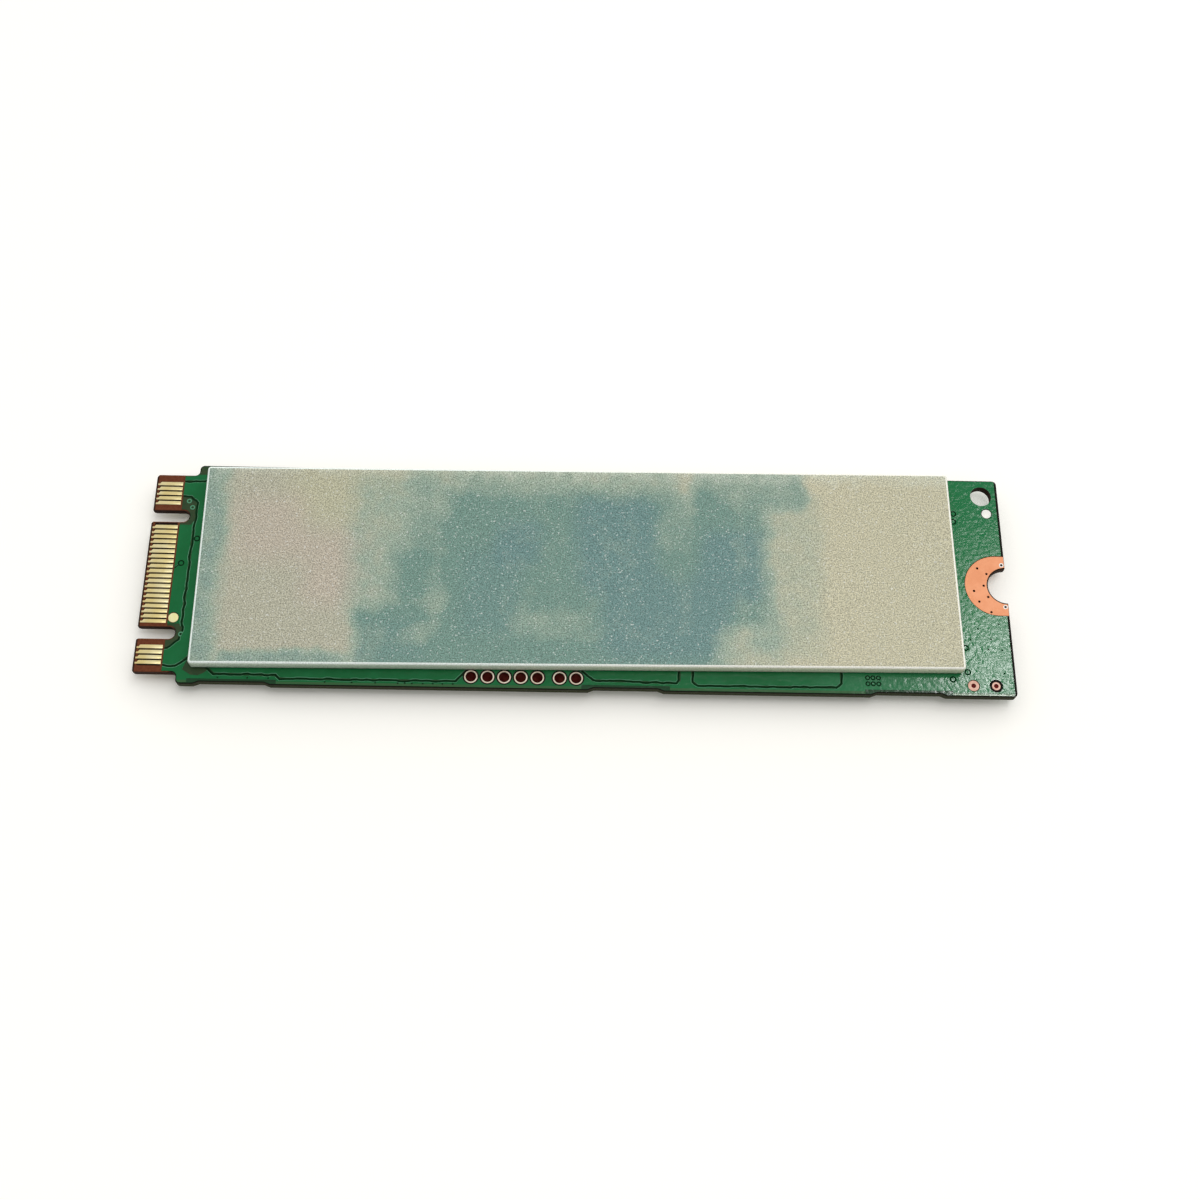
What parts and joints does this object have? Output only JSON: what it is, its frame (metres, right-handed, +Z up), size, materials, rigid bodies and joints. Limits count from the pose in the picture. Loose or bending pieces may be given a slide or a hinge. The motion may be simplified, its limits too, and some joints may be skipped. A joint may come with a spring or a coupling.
{
  "type": "gumstick solid state drive",
  "caption": "Slim plug-in storage card: green circuit board with a notched gold contact edge, a half-round screw notch and a frosted soft thermal pad on its back.",
  "frame": {"origin": "centre of the card's outline, on the surface that the drive lies on", "axes": "+X from the contact tip to the screw end, +Y to the far long edge, +Z up out of the thermal pad"},
  "size_m": [0.08, 0.022, 0.0033],
  "materials": {
    "laminate": "brown glass-epoxy, sawn edges",
    "green_mask": "semi-gloss green film",
    "gold": "bright gold plate",
    "bare_copper": "bare copper, slightly dull",
    "silicone": "frosted see-through silicone",
    "black_epoxy": "fine matte black moulding",
    "package_board": "dark green package laminate",
    "solder": "bright solder",
    "tin": "matt tin plate",
    "capacitor_ceramic": "tan ceramic",
    "resistor_ceramic": "black glaze",
    "inductor_core": "dark grey pressed powder",
    "oscillator_ceramic": "dark ceramic",
    "oscillator_metal": "nickel-plated lid"
  },
  "bodies": {
    "root": {"board_laminate": "laminate", "solder_mask_pad_side": "green_mask", "solder_mask_chip_side": "green_mask", "contacts_pad_side": "gold", "contacts_chip_side": "gold", "screw_land_pad_side": "bare_copper", "screw_land_chip_side": "bare_copper", "header_hole_barrels": "bare_copper", "test_hole_barrels": "bare_copper", "fiducials_pad_side": "gold", "fiducials_chip_side": "gold", "thermal_pad": "silicone", "power_chip_body": "black_epoxy", "power_chip_leads": "tin", "regulator_body": "black_epoxy", "regulator_leads": "tin", "oscillator_base": "oscillator_ceramic", "oscillator_lid": "oscillator_metal", "inductor_bodies": "inductor_core", "inductor_terminals": "tin", "large_capacitor_bodies": "capacitor_ceramic", "large_capacitor_terminals": "tin", "small_capacitor_bodies": "capacitor_ceramic", "small_capacitor_terminals": "tin", "resistor_bodies": "resistor_ceramic", "resistor_terminals": "tin", "solder_joints": "solder", "controller_substrate": "package_board", "controller_cap": "black_epoxy", "controller_solder_balls": "solder", "buffer_memory_substrate": "package_board", "buffer_memory_cap": "black_epoxy", "buffer_memory_solder_balls": "solder", "flash_1_substrate": "package_board", "flash_1_cap": "black_epoxy", "flash_1_solder_balls": "solder", "flash_2_substrate": "package_board", "flash_2_cap": "black_epoxy", "flash_2_solder_balls": "solder"}
  },
  "joints": []
}
